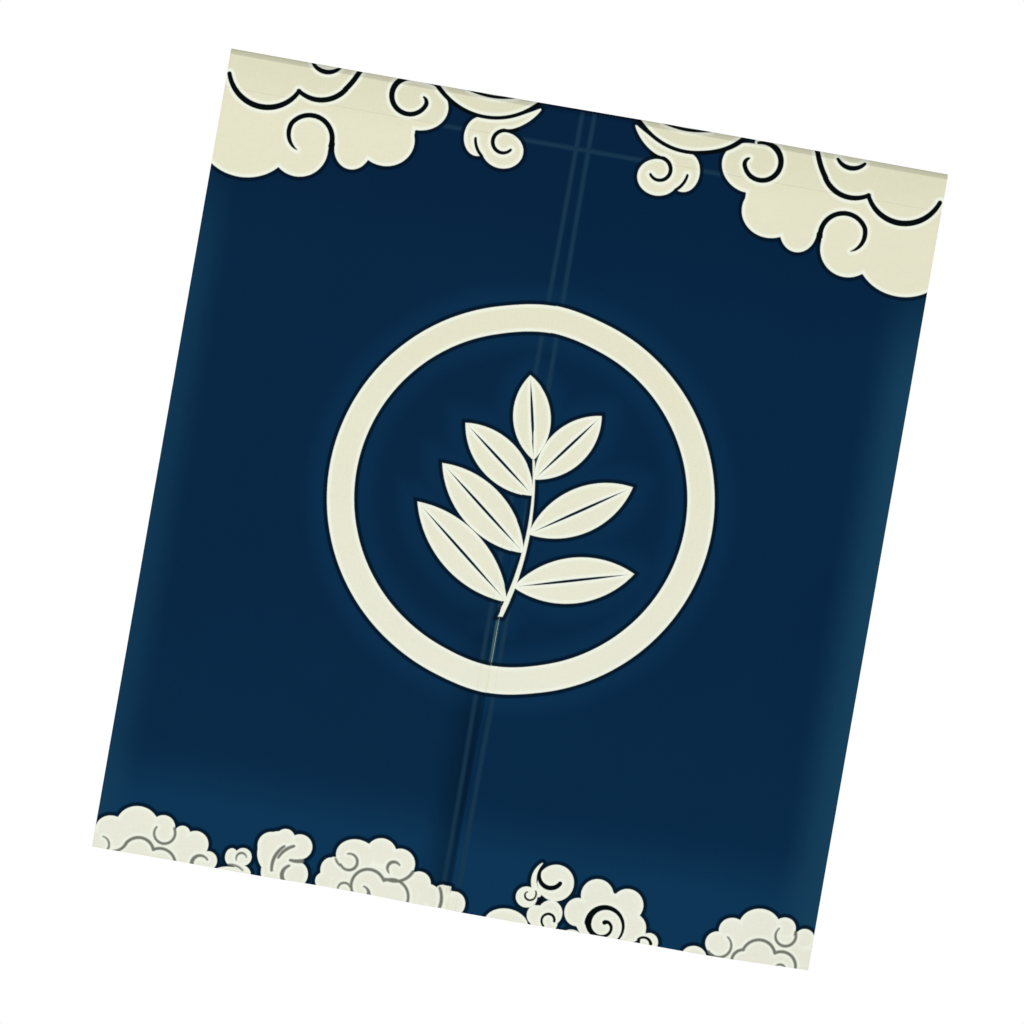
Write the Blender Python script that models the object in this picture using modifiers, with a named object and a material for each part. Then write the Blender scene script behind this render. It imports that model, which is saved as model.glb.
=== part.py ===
"""A short door curtain of two printed panels under a rod-pocket heading, as it hangs at rest.

Metres, +Z up, the front faces -Y. The origin is the middle of the heading's top fold, where a rod
would hold it. The panels are sewn together at the centre down to the slit, and hang apart below it.
"""

import math
from collections import namedtuple

import bmesh
import bpy

# Cut and sewn sizes
WIDTH = 0.800
DROP = 0.892
HEADING = 0.0435
CLOTH = 0.0012
HEM_CLOTH = 0.0023
HEM = 0.008
HEM_STEP = 0.0008
CLEARANCE = 0.0003

# The slit between the panels drifts towards the left one as it goes down, gapes a little halfway,
# and lower down the right panel's edge lies in front of the left one's
SLIT_TOP = 0.355
SLIT_DRIFT = 0.002
DRIFT_REACH = 0.190
GAPE = 0.0007
GAPE_MIDDLE = 0.590
GAPE_REACH = 0.075
LAP = 0.0016
LAP_START = 0.660
LAP_REACH = 0.090

# The rod pocket's section: the front lies flat and the back stands away from it
POCKET_FOOT = 0.0026
POCKET_FRONT = 0.0015
POCKET_BACK = 0.0098
POCKET_DEPTH = POCKET_FOOT + POCKET_FRONT + POCKET_BACK
SEAM_Y = (POCKET_FRONT - POCKET_BACK) / 2

# Spacing of the points that carry the shape
COLUMN = 0.025
ROW = 0.042
POCKET_WALL_STEPS = 7
POCKET_CAP_STEPS = 8
HEADING_STEPS = 20

# Side and slit edges: how far in from the edge the cloth turns back, and by how much at the foot
Curl = namedtuple("Curl", "reach depth start")
LEFT_SIDE = Curl(reach=0.035, depth=0.0035, start=0.10)
RIGHT_SIDE = Curl(reach=0.060, depth=0.0070, start=0.08)
LEFT_SLIT = Curl(reach=0.038, depth=0.0076, start=SLIT_TOP)
RIGHT_SLIT = Curl(reach=0.030, depth=0.0020, start=SLIT_TOP)

# Soft upright folds. Places are from the curtain's left side, and a depth below zero stands forward
Fold = namedtuple("Fold", "head foot half_width depth start")
FOLDS = (
    Fold(head=0.105, foot=0.090, half_width=0.072, depth=0.0052, start=0.10),
    Fold(head=0.228, foot=0.210, half_width=0.085, depth=-0.0046, start=0.06),
    Fold(head=0.325, foot=0.318, half_width=0.056, depth=0.0034, start=0.20),
    Fold(head=0.468, foot=0.482, half_width=0.062, depth=-0.0036, start=0.24),
    Fold(head=0.572, foot=0.590, half_width=0.080, depth=0.0050, start=0.08),
    Fold(head=0.690, foot=0.702, half_width=0.068, depth=-0.0042, start=0.05),
)

# What is uneven along the width: turns are counted over the whole curtain, phase is in radians
Wave = namedtuple("Wave", "size turns phase")
FOOT_WAVES = (Wave(size=0.0010, turns=1.2, phase=0.4), Wave(size=0.0005, turns=3.0, phase=1.7))
FOLD_LINE_WAVE = Wave(size=0.0006, turns=1.2, phase=0.5)
FULLNESS_WAVE = Wave(size=0.10, turns=1.8, phase=1.1)

NAVY = (0.0030, 0.0230, 0.0600, 1.0)
NAVY_RIGHT = (0.0026, 0.0242, 0.0650, 1.0)
CREAM = (0.760, 0.730, 0.590, 1.0)


def clear_scene():
    for obj in list(bpy.data.objects):
        bpy.data.objects.remove(obj, do_unlink=True)


def ease(t):
    """Runs smoothly from 0 to 1 as t does."""
    t = min(max(t, 0.0), 1.0)
    return t * t * (3 - 2 * t)


def bell(t):
    """1 where t is 0, falling smoothly to 0 where t is 1 or -1."""
    return 0.5 * (1 + math.cos(math.pi * min(abs(t), 1.0)))


def slit_x(drop):
    """The slit's own line, so far below the top fold."""
    return -SLIT_DRIFT * ease((drop - SLIT_TOP) / DRIFT_REACH)


def slit_edge(drop, sign):
    """Where a panel's slit edge is: sign is -1 for the left panel and 1 for the right one."""
    opening = CLEARANCE + GAPE * bell((drop - GAPE_MIDDLE) / GAPE_REACH)
    lap = LAP * ease((drop - LAP_START) / LAP_REACH)
    return slit_x(drop) + sign * (opening - lap) / 2


def wave_at(wave, x):
    return wave.size * math.sin(2 * math.pi * wave.turns * x / WIDTH + wave.phase)


def foot_drop(x):
    """How far below the top fold the curtain ends, at this place along its width."""
    return DROP + sum(wave_at(wave, x) for wave in FOOT_WAVES)


def curl_depth(curl, inwards, drop, soft_edge):
    """How far an edge turns back. A soft edge lies level at its very end, and another one turns on."""
    share = 1 - min(inwards / curl.reach, 1.0)
    shape = bell(1 - share) if soft_edge else share * share
    return curl.depth * shape * ease((drop - curl.start) / (DROP - curl.start))


def fold_depth(x, drop):
    """How far the cloth stands back from its plane through the soft folds."""
    place = x + WIDTH / 2
    total = 0.0
    for fold in FOLDS:
        down = drop / DROP
        middle = fold.head + (fold.foot - fold.head) * down
        growth = ease((drop - HEADING - fold.start) / (DROP - HEADING - fold.start))
        total += fold.depth * bell((place - middle) / fold.half_width) * growth
    return total


def panel_depth(x, drop, slit_curl, side_curl):
    """How far one panel's front face stands behind the seam plane."""
    to_slit = abs(x - slit_x(drop))
    to_side = WIDTH / 2 - abs(x)
    edges = curl_depth(slit_curl, to_slit, drop, True) + curl_depth(side_curl, to_side, drop, False)
    return fold_depth(x, drop) + edges


def spaced(start, end, spacing):
    """Even places from start to end, both kept, no further apart than the spacing."""
    count = math.ceil((end - start) / spacing)
    return [start + (end - start) * i / count for i in range(count + 1)]


def add_material(obj, name, colour):
    material = bpy.data.materials.new(name)
    material.use_nodes = True
    shader = material.node_tree.nodes["Principled BSDF"]
    shader.inputs["Base Color"].default_value = colour
    shader.inputs["Roughness"].default_value = 0.9
    shader.inputs["Metallic"].default_value = 0.0
    material.diffuse_color = colour
    obj.data.materials.append(material)


def grid_object(name, columns, rows, place, closed, collection):
    """A sheet with a point where a column meets a row. A closed one joins its last row to its first."""
    mesh = bmesh.new()
    bmesh.ops.create_grid(mesh, x_segments=columns - 1, y_segments=rows - 1, size=1.0)
    mesh.verts.ensure_lookup_table()
    for index, vert in enumerate(mesh.verts):
        vert.co = place(index % columns, index // columns)
    if closed:
        last = (rows - 1) * columns
        for column in range(columns - 1):
            corners = (last + column, column, column + 1, last + column + 1)
            mesh.faces.new([mesh.verts[corner] for corner in corners])
    bmesh.ops.recalc_face_normals(mesh, faces=mesh.faces)
    for face in mesh.faces:
        face.smooth = True
    data = bpy.data.meshes.new(name)
    mesh.to_mesh(data)
    mesh.free()
    obj = bpy.data.objects.new(name, data)
    collection.objects.link(obj)
    return obj


def face_the_front(obj):
    """Turns a panel's sheet so that its faces look towards -Y."""
    if sum(polygon.normal.y for polygon in obj.data.polygons) > 0:
        obj.data.flip_normals()


def build_panel(name, sign, slit_curl, side_curl, colour, collection):
    """One panel: sign is -1 for the left one and 1 for the right one."""
    half = WIDTH / 2
    inner = HEM + HEM_STEP
    from_slit = [0.0, HEM] + spaced(inner, half - inner, COLUMN) + [half - HEM, half]
    top = HEADING + CLEARANCE
    from_top = spaced(top, DROP - inner, ROW) + [DROP - HEM, DROP]

    def place(column, row):
        drop = from_top[row]
        start = slit_edge(drop, sign)
        x = start + (sign * half - start) * from_slit[column] / half
        y = SEAM_Y - CLOTH / 2 + panel_depth(x, drop, slit_curl, side_curl)
        stretch = (foot_drop(x) - top) / (DROP - top)
        return x, y, -(top + (drop - top) * stretch)

    panel = grid_object(name, len(from_slit), len(from_top), place, False, collection)
    face_the_front(panel)
    hems = panel.vertex_groups.new(name="hems")
    for index in range(len(panel.data.vertices)):
        column, row = index % len(from_slit), index // len(from_slit)
        in_hem = column < 2 or column >= len(from_slit) - 2 or row >= len(from_top) - 2
        hems.add([index], 1.0 if in_hem else 0.0, "REPLACE")
    thickness = panel.modifiers.new("cloth", "SOLIDIFY")
    thickness.thickness = HEM_CLOTH
    thickness.offset = -1
    thickness.vertex_group = hems.name
    thickness.thickness_vertex_group = CLOTH / HEM_CLOTH
    add_material(panel, name + "_cloth", colour)
    return panel


def pocket_section():
    """The rod pocket's outer outline as (y, z) pairs, up the front, over the fold and down the back."""
    cap = POCKET_DEPTH / 2
    wall = HEADING - cap
    front, back = [], []
    for step in range(POCKET_WALL_STEPS):
        height = step / POCKET_WALL_STEPS
        swell = math.sin(height * math.pi / 2)
        front.append((SEAM_Y - POCKET_FOOT / 2 - POCKET_FRONT * swell, -HEADING + wall * height))
        back.append((SEAM_Y + POCKET_FOOT / 2 + POCKET_BACK * swell, -HEADING + wall * height))
    fold = []
    for step in range(POCKET_CAP_STEPS + 1):
        angle = math.pi * step / POCKET_CAP_STEPS
        fold.append((-cap * math.cos(angle), -cap + cap * math.sin(angle)))
    return front + fold + back[::-1]


def build_heading(collection):
    """The heading: a flat sleeve, open at both ends, whose two walls are sewn together at its foot."""
    section = pocket_section()
    along = spaced(-WIDTH / 2, WIDTH / 2, WIDTH / HEADING_STEPS)

    def place(column, row):
        x = along[column]
        y, z = section[row]
        height = (z + HEADING) / HEADING
        lift = (wave_at(FOLD_LINE_WAVE, x) - wave_at(FOLD_LINE_WAVE, 0)) * height
        fullness = 1 + wave_at(FULLNESS_WAVE, x) * height
        return x, SEAM_Y + (y - SEAM_Y) * fullness, z + lift

    heading = grid_object("heading", len(along), len(section), place, True, collection)
    thickness = heading.modifiers.new("cloth", "SOLIDIFY")
    thickness.thickness = CLOTH
    thickness.offset = -1
    thickness.use_even_offset = True
    add_material(heading, "heading_cloth", CREAM)
    return heading


def main():
    clear_scene()
    collection = bpy.data.collections.new("door_curtain")
    bpy.context.scene.collection.children.link(collection)
    build_heading(collection)
    build_panel("left_panel", -1, LEFT_SLIT, LEFT_SIDE, NAVY, collection)
    build_panel("right_panel", 1, RIGHT_SLIT, RIGHT_SIDE, NAVY_RIGHT, collection)


main()
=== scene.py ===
"""The looks of a two-panel door curtain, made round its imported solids.

Metres, +Z up, the front faces -Y, and the origin is the middle of the heading's top fold. A place on
the flat cloth is (across, down): across from the curtain's left side, down from its top fold. Beyond
the fold, down the back of the heading, down is below zero.
"""

import math
from collections import namedtuple

import bmesh
import bpy
import numpy as np
from mathutils import Matrix, Vector


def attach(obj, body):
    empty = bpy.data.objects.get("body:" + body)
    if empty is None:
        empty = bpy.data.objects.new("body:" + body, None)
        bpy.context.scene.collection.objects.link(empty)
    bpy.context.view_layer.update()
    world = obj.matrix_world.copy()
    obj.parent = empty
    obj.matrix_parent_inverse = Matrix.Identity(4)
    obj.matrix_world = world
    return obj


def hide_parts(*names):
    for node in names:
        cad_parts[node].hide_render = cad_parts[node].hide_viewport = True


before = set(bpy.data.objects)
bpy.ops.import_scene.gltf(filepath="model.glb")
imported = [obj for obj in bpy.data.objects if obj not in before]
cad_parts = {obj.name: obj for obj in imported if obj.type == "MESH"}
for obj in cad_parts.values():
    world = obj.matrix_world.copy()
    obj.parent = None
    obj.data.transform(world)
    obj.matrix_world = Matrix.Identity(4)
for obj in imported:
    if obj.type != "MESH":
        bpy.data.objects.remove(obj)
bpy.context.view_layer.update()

MM = 0.001

# Cut and sewn sizes, as the solids have them
WIDTH = 0.800
HALF = WIDTH / 2
DROP = 0.892
HEADING = 0.0435
CLOTH = 0.0012
SLIT_TOP = 0.355
SLIT_DRIFT = 0.002
DRIFT_REACH = 0.190
GAPE_MIDDLE = 0.590
GAPE_REACH = 0.075
LAP = 0.0016
LAP_START = 0.660
LAP_REACH = 0.090
POCKET_FOOT = 0.0026
POCKET_FRONT = 0.0015
POCKET_BACK = 0.0098
POCKET_DEPTH = POCKET_FOOT + POCKET_FRONT + POCKET_BACK
SEAM_Y = (POCKET_FRONT - POCKET_BACK) / 2

# Side and slit edges: how far in from the edge the cloth turns back, and by how much at the foot
Curl = namedtuple("Curl", "reach depth start")
LEFT_SIDE = Curl(reach=0.035, depth=0.0035, start=0.10)
RIGHT_SIDE = Curl(reach=0.060, depth=0.0070, start=0.08)
LEFT_SLIT = Curl(reach=0.038, depth=0.0076, start=SLIT_TOP)
RIGHT_SLIT = Curl(reach=0.030, depth=0.0020, start=SLIT_TOP)

# Soft upright folds. Places are from the curtain's left side, and a depth below zero stands forward
Fold = namedtuple("Fold", "head foot half_width depth start")
FOLDS = [Fold(*row) for row in (
    (0.105, 0.090, 0.072, 0.0052, 0.10),
    (0.228, 0.210, 0.085, -0.0046, 0.06),
    (0.325, 0.318, 0.056, 0.0034, 0.20),
    (0.468, 0.482, 0.062, -0.0036, 0.24),
    (0.572, 0.590, 0.080, 0.0050, 0.08),
    (0.690, 0.702, 0.068, -0.0042, 0.05),
)]

# What is uneven along the width: turns are counted over the whole curtain, phase is in radians
Wave = namedtuple("Wave", "size turns phase")
FOOT_WAVES = (Wave(size=0.0010, turns=1.2, phase=0.4), Wave(size=0.0005, turns=3.0, phase=1.7))
FOLD_LINE_WAVE = Wave(size=0.0006, turns=1.2, phase=0.5)
FULLNESS_WAVE = Wave(size=0.10, turns=1.8, phase=1.1)

# The thin cloth that shows: one layer, and a hem's layers together. Sewn edges lap a little, the slit
# gapes less than in the solids, and a panel's very edges are rounded back and thinner. BEHIND_Y lies
# well behind all of it
THIN_CLOTH = 0.0007
THIN_HEM = 0.0015
SEWN_LAP = 0.00006
PANEL_TOP = HEADING - SEWN_LAP
GAPE = 0.00022
EDGE_ROUND = 0.0012
EDGE_BACK = 0.0004
EDGE_THINNED = 0.45
BEHIND_Y = 1.0

# The heading's section, in shares along it: its front up to FRONT_ENDS, then the fold, then its back
# from BACK_STARTS. Near its foot the two walls stand closer together than in the solids
FRONT_ENDS = 0.4
BACK_STARTS = 0.6
FOOT_FRONT = 0.0006
FOOT_BACK = 0.0009
FOOT_RISE = 0.010

# Hems and seams: how far in from the slit each panel's row of stitches runs, at the top and low down,
# and how far in its hem reaches there. The cloth sinks into a groove along each row
HEM = 0.008
HEM_FADE = 0.0008
HEM_STITCH = 0.0068
HEADING_STITCH = 0.0431
Seam = namedtuple("Seam", "top low hem")
LEFT_SEAM = Seam(top=0.0076, low=0.0105, hem=0.0120)
RIGHT_SEAM = Seam(top=0.0060, low=0.0084, hem=0.0099)
SEAM_SETTLES = 0.50
GROOVE = 0.00022
GROOVE_REACH = 0.0022

# Both sides of the curtain: the sign of x there, how the slit and outer edges curl, and the seam
Side = namedtuple("Side", "sign slit outer seam")
LEFT = Side(-1, LEFT_SLIT, LEFT_SIDE, LEFT_SEAM)
RIGHT = Side(1, RIGHT_SLIT, RIGHT_SIDE, RIGHT_SEAM)

# Small crinkles: most of their waves run nearly level, and their depth is a share of their length. They
# grow in over this reach of a panel, and on the heading over a third of its height, its grooves a sixth
CRINKLES = 18
CRINKLE_SEED = 11
CRINKLE_LENGTHS = (0.028, 0.120)
CRINKLE_DEPTH = 0.0022
NEARLY_LEVEL = (-0.6, 0.6)
ANY_WAY = (0, math.pi)
NEARLY_LEVEL_SHARE = 0.7
CRINKLE_REACH = 0.030
CRINKLE_GROWTH = 3
GROOVE_GROWTH = 6

# Cells of the cloth, and how close to a printed edge they are split further
CELL = 0.005
WALL_STEP = 0.045
FOLD_STEP = 0.0125
SPLITS = 3
SPLIT_REACH = 0.0060
EDGE_ROWS = (0.0, 0.0005, 0.0014, 0.0042)
HEM_ROWS = (HEM + HEM_FADE, HEM, HEM - HEM_FADE) + EDGE_ROWS[::-1]
SHARP_ANGLE = math.radians(55)

# The printed ring: a little peaked at its top and foot, and lower on the left panel
RING_RADIUS = 0.1986
RING_BAND = 0.0298
RING_PEAK = 0.0021
PEAK_REACH = 0.060
LEFT_RING = (0.3993, 0.4341, 0.0)
RIGHT_RING = (0.3985, 0.4336, 0.0)

# Clouds, in millimetres on the cloth and in degrees. Angles run clockwise from the right. A lobe is
# an oval, a block fills in between lobes, and a scroll is a stroke along an arc or a spiral, with its
# widths at its head, middle and tail
Lobe = namedtuple("Lobe", "across down wide tall")
Block = namedtuple("Block", "left right top bottom")
Scroll = namedtuple("Scroll", "across down radius end_radius start turn head middle tail")

# The clouds at the top are mirrored on the right, where they stand lower except near the middle
MIRROR = 399.7
RIGHT_LOWER = 5.0
LEVEL_FROM = 275
LOWERS_OVER = 60
TOP_LOBES = [Lobe(*row) for row in (
    (32, 94.5, 51, 43.6), (93, 96, 31, 31), (150.6, 85.6, 20.3, 23.6), (184.6, 70, 31.6, 29.2),
    (214.5, 27, 32, 27), (289, -50, 75, 75), (285, 49, 16.5, 21.8), (313, 59.5, 22.8, 20),
    (296, 35.4, 11, 9),
)]
TOP_BLOCKS = (
    Block(-60, 124, -130, 92), Block(-60, 190, -130, 84), Block(-60, 214.5, -130, 72),
)
TOP_STROKES = (Scroll(289, -50, 81.8, 84.8, 45.5, 40.5, 2, 12, 11.6),)
TOP_LINES = [Scroll(*row) for row in (
    (44.5, 16, 43.4, 41.2, 163.5, -138, 5, 6.6, 4.8),
    (101.3, 3.9, 36.1, 36.1, 124, -92, 4.8, 6, 6),
    (60, -30, 89, 88.9, 37, -26, 6, 6, 5.6),
    (106.5, -10.9, 18.8, 18.8, 143, -106, 3.6, 5.6, 3.6),
    (157, 91, 29.9, 29.9, 192, -15, 5.2, 5.2, 4.4),
    (101.2, 83.2, 25.4, 25.3, 10, -160, 6, 5.6, 5.4),
    (101.2, 83.2, 25.3, 18.4, -150, -84, 5.4, 4.6, 1.4),
    (203.3, 18.3, 21.3, 19.4, 238, -214, 7, 5.8, 5.2),
    (214.5, 23.3, 7.2, 7.4, 24, -88, 5.2, 4.6, 2.4),
    (203.3, 18.3, 21.3, 21.3, 290, -54, 3.4, 5.2, 6.8),
    (289, -50, 78, 75.4, 140, -98, 5, 4.2, 4.8),
    (291, -95.5, 98.2, 98.2, 105.5, -31, 2.6, 4, 2.6),
    (315, 10, 28, 26.6, 100, -31, 3.6, 4, 4),
    (313, 51, 13.3, 10.9, -98, -225, 4.4, 4.4, 3.2),
    (307, 48, 26.6, 25.8, 127, 45, 3.4, 3.6, 3),
)]

FOOT_LOBES = [Lobe(*row) for row in (
    (18, 871, 18, 16.5), (45.5, 861.3, 23.5, 22), (73.5, 857.5, 13, 13), (95.5, 861, 8.6, 8.6),
    (111.5, 870, 14.5, 14.5), (128.5, 885.5, 10, 10.5), (153.3, 876.5, 7, 9.3), (166, 874.5, 9.5, 9.7),
    (160, 880, 9, 6.5), (157, 901, 23, 13.5), (167, 894, 11, 10.5), (194.5, 857, 15, 15),
    (203, 864, 22.5, 24), (206.5, 884, 18.5, 20), (208.5, 846, 10, 9.8), (225.5, 853.3, 13.8, 13.8),
    (226.5, 884, 13.2, 14.5), (263, 872, 11, 13), (259, 886, 10.5, 10), (288, 852.5, 22, 18),
    (315, 844, 16.5, 15.7), (337.5, 851.7, 16.2, 16.2), (361.5, 869.5, 13, 13.5),
    (374.5, 880.5, 11.5, 12.5), (388, 877, 9, 10.6), (404, 884, 11.5, 13), (463.5, 897, 24.5, 18),
    (480.5, 862.7, 11.8, 11.5), (509.5, 842.3, 20, 20), (509, 876, 13.5, 14), (494, 880.5, 10, 11),
    (504, 887, 15, 12), (537, 896, 10, 6), (538.5, 870, 14.3, 15.5), (557, 848.5, 18, 18),
    (591.5, 853, 17.5, 17.6), (600, 877, 16.3, 16.5), (573, 873, 36, 30), (622, 889, 9.8, 10.2),
    (673, 897, 14, 13), (695.5, 877, 13, 13), (709.5, 860.3, 14.8, 13.6), (738.5, 852.5, 23, 20.2),
    (766.3, 849.8, 12.2, 11.8), (790, 859, 11.5, 11.8),
)]
FOOT_BLOCKS = [Block(*row) for row in (
    (-40, 124, 872, 960), (45, 110, 861, 960), (14, 135, 888, 960), (205, 231, 850, 875),
    (263, 366, 858, 960), (360, 374, 866, 960), (374, 404, 880, 960), (387, 397.2, 866.5, 960),
    (397.2, 406, 870.8, 960), (694, 860, 866, 960), (709, 789, 856, 960),
)]
FOOT_STROKES = (Scroll(509, 842, 25.6, 22.5, 226, -90, 1.6, 5.6, 6.5),)
FOOT_LINES = [Scroll(*row) for row in (
    (503.8, 836, 14.2, 12.2, 226, -196, 1.8, 5, 4.8),
    (482.8, 859.6, 8.2, 3.5, -38, 270, 1.8, 2.4, 1.6),
    (483, 858, 15, 15, 12, 38, 2.6, 3.4, 1.6),
    (509, 884, 8.5, 6, 125, 235, 2.4, 3, 3),
    (570, 879.5, 22, 18, 37, -217, 2.4, 5, 8),
    (570, 879.5, 17.8, 3, -180, -270, 7, 3.4, 5.2),
    (617, 893, 8.8, 7.5, 215, 125, 2.8, 3, 3.8),
    (600, 880, 13.8, 14, 76, -36, 1.4, 2.4, 2.8),
)]
FOOT_GREYS = [Scroll(*row) for row in (
    (52.5, 890.2, 18, 15.8, 205, 132, 2.8, 2.8, 2.8),
    (22, 876, 15.8, 17, 18, 64, 2.8, 2.6, 2.4),
    (76.5, 898.4, 17.3, 17.2, 237, 106, 2.8, 2.6, 2.6),
    (75.5, 864, 12.5, 10.5, -35, 245, 2.2, 2.4, 1.6),
    (9.5, 888, 9, 9, 272, 115, 1, 1.7, 1.8),
    (120.5, 890.5, 9.3, 9.3, 320, -150, 1.6, 2.8, 4),
    (165, 876, 6.5, 5, 150, 190, 1, 2, 1),
    (156, 905, 20, 20, 258, 50, 1.2, 1.6, 1.2),
    (228.8, 877.5, 29.8, 29.8, 168, 60, 2.4, 3.2, 2.2),
    (228.8, 877.5, 25.8, 25.8, 200, 48, 2, 3, 2.6),
    (224, 840, 29, 30, 77, 25, 4, 3.4, 2.4),
    (222.5, 885.5, 11, 11, 245, -105, 2, 3.6, 3.8),
    (282, 852.5, 17, 16.5, 155, -30, 1.8, 2, 2),
    (281.7, 860, 9.8, 8.5, 150, -260, 2, 2.6, 1.4),
    (331.5, 858.5, 7.2, 7.2, -40, -190, 1.4, 3, 1.2),
    (331, 849, 23.5, 23.5, 23, 83, 3, 2.6, 2.4),
    (306.5, 883.1, 18.2, 18.8, 147, 183, 2.4, 2.8, 2.8),
    (334, 889, 18.6, 18.6, 238, 136, 2.4, 2.6, 2.4),
    (281.5, 891, 7, 7, 180, 150, 1.6, 2, 1.6),
    (301, 892, 8, 8, 280, 85, 1.4, 2.4, 4.4),
    (360, 888, 30.5, 28.4, -36, 45, 2.4, 3, 3),
    (698.5, 878.5, 12.3, 14, -55, 195, 1.2, 2.4, 2.2),
    (726.5, 891.5, 12.2, 11.8, 176, 88, 2.6, 2.8, 2.6),
    (742.6, 885, 18.6, 18.7, 199, 141, 2.6, 2.8, 2.8),
    (768.8, 892, 16, 16.8, 237, 125, 2.8, 2.8, 2.6),
    (768.5, 858, 11.8, 10.8, -28, 248, 2.4, 2.6, 1.4),
    (769, 897, 7, 7, 225, 90, 1.2, 2, 1.2),
)]
TOP_BAND = 200
FOOT_BAND = 780
SCROLL_STEP = 0.8
SCROLL_MARGIN = 8
FAR = 40.0
TINY = 1e-6

# The leafy sprig in the ring, in millimetres from the ring's middle, and in degrees. Its stem is an
# arc, and a leaf sits on it at a share of its length, turned out from it to one side
STEM_MIDDLE = (-330.0, 30.0)
STEM_RADIUS = 345.0
STEM_START = 17.0
STEM_END = -12.5
STEM_FOOT = 5.5
STEM_TIP = 2.4
Leaf = namedtuple("Leaf", "along turned length width")
LEAVES = [Leaf(*row) for row in (
    (0.10, -66, 148, 50),
    (0.20, 63, 134, 50),
    (0.42, -57, 134, 49),
    (0.54, 55, 126, 49),
    (0.78, -47, 110, 45),
    (0.88, 46, 102, 43),
    (1.00, 0, 94, 42),
)]
RIB = 1.5
RIB_REACH = 0.86

# Fades: a share goes from low, where a place or a distance is at start, to high, where it is at end
Fade = namedtuple("Fade", "start end low high", defaults=(0.0, 1.0))

# The edges of the print, the dark contour outside them and the pale rim inside
PRINT_EDGE = Fade(0.0006, -0.0006)
GREY_EDGE = Fade(0.0014, -0.0006, high=0.95)
CONTOUR = Fade(0.0054, 0.0032, high=0.85)
RIM = Fade(0.0052, 0.0016, high=0.8)
# The cream is darker at the top with painted shade over the heading, and paler further down
CREAM_HIGH = Fade(0.01, 0.07)
CREAM_DOWN = Fade(0.10, 0.88)

# The ground is paler further down, round the ring and in soft patches, and towards its outer edges it is
# lighter with painted light
FADING = (Fade(0.10, 0.22, high=0.18), Fade(0.50, 0.74, high=0.12), Fade(0.755, 0.85, high=0.85))
HALO = Fade(0.032, 0.008, high=0.33)
PATCH_SCALE = 7.0
PATCHES = 0.16
EDGE_LEFT = Fade(0.040, 0.0, high=0.55)
EDGE_RIGHT = Fade(WIDTH - 0.055, WIDTH)
EDGES_DOWN = Fade(0.08, 0.26)

# Lines of painted highlight along the stitching, a painted shade where the left slit edge turns back,
# painted light on the slit's edge where it gapes, and the top fold's painted shade and its dark line
HEADING_ROW = 0.0441
ROW = Fade(0.0040, 0.0005, high=0.84)
CURL_LEFT = Fade(0.350, 0.391)
CURL_RIGHT = Fade(0.3970, 0.3945)
CURL_DOWN = Fade(0.50, 0.68, high=0.46)
LIT_EDGE = 0.3972
LIT_BAND = Fade(0.0030, 0.0006)
LIT_BELOW = Fade(0.525, 0.542)
LIT_ABOVE = Fade(0.655, 0.625)
FOLD_SHADE = Fade(0.0074, 0.0056, low=1.0, high=0.76)
FOLD_LINE = Fade(0.0036, 0.0022, high=0.8)

# Weave: threads that stray a little, slubs both ways, and the fine wobble of the print's edge
THREAD_PITCH = 0.0006
STRAY_SCALE = 90.0
STRAY = 0.0009
SLUBS = ((1900.0, 70.0, 1.0), (60.0, 1700.0, 1.0))
CROSSINGS = 0.22
TONE_SIZE = 0.10
GRAIN_SCALE = 900.0
WOBBLE = 0.0006
HEM_SHOWS = Fade(0.3, 0.7)

# Finishes: roughness, specular level, and the bump's strength and depth
Finish = namedtuple("Finish", "roughness specular strength depth")
CLOTH_FINISH = Finish(0.95, 0.03, 0.5, 0.00022)
THREAD_FINISH = Finish(0.8, 0.05, 0.4, 0.00008)
FLOOR_FINISH = Finish(0.8, 0.2, 0.0, 0.0)

# Stitches, each a little uneven in size and lean, and the points that carry a row, as start, end, count
STITCH = 0.0022
STITCH_GAP = 0.0006
THREAD_THICK = 0.00036
THREAD_LIFT = 0.00008
TWIST_SCALE = 1400.0
TWIST_TONE = Fade(0.3, 0.7, low=0.75)
STITCH_LEAN = 0.05
STITCH_SIZES = (0.90, 1.05)
STITCH_SEED = 5
ROUND_SLEEVE = (0.004, 0.996, 160)
DOWN_PANEL = (PANEL_TOP + 0.0004, DROP - 0.0012, 500)
ALONG_FOOT = (0.0015, HALF - 0.0015, 260)
ALONG_HEADING = (-HALF + 0.002, HALF - 0.002, 400)

# Flat sizes that the cloths were cut to
PANEL_FLAT = (0.416, 0.857)
HEADING_FLAT = (0.800, 0.100)

# Camera: how far the curtain's middle stands right of the picture's middle and above it
LENS = 135.0
SENSOR = 36.0
FRAME_WIDTH = 1.126
CAMERA_ROLL = 9.93
MIDDLE_RIGHT = 0.00869
MIDDLE_UP = 0.00209

# Stage: lights are a name, a place, a size and a power
FLOOR_Z = -1.60
FLOOR_SIZE = 5.4
FLOOR_PALE = (0.86, 0.86, 0.85, 1.0)
WHITE = (1, 1, 1, 1)
SURROUND = 0.58
LIGHTS = (
    ("key_light", (-0.3, -3.9, 0.6), 2.4, 66.0),
    ("back_light", (1.2, 3.2, 0.8), 2.2, 34.0),
)

# Colours, as light that the cloth sends back
NAVY_LEFT = (0.0016, 0.0168, 0.0505, 1.0)
NAVY_RIGHT = (0.0013, 0.0172, 0.053, 1.0)
NAVY_LOW = (0.0036, 0.036, 0.093, 1.0)
# Painted light on the ground towards the outer edges
NAVY_EDGE_LIGHT = (0.0075, 0.05, 0.105, 1.0)
# Painted highlight along the stitched rows
NAVY_ROW_HIGHLIGHT = (0.0095, 0.041, 0.08, 1.0)
NAVY_LIT = (0.052, 0.125, 0.135, 1.0)
# Dark contour round the print, also used as painted shade by the left slit edge
NAVY_DARK = (0.0004, 0.006, 0.016, 1.0)
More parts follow.
